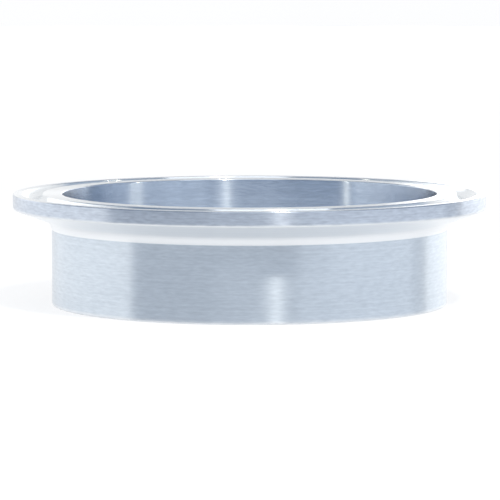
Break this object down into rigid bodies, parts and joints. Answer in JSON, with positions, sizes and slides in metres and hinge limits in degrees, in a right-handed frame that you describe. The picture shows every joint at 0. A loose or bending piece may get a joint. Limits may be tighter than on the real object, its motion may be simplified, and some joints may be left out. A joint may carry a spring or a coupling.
{
  "type": "sanitary clamp ferrule",
  "caption": "Short round tube stub with a bevelled clamp flange and a gasket groove, for joining sanitary tubing with a hinged clamp.",
  "frame": {"origin": "centre of the weld end, in its plane", "axes": "+Z along the bore axis, pointing out of the sealing face; the ferrule is the same all round, so +X and +Y are free"},
  "size_m": [0.091, 0.091, 0.0215],
  "materials": {
    "steel": "turned satin, fine grain round the axis"
  },
  "bodies": {
    "root": {"clamp_ferrule": "steel"}
  },
  "joints": []
}
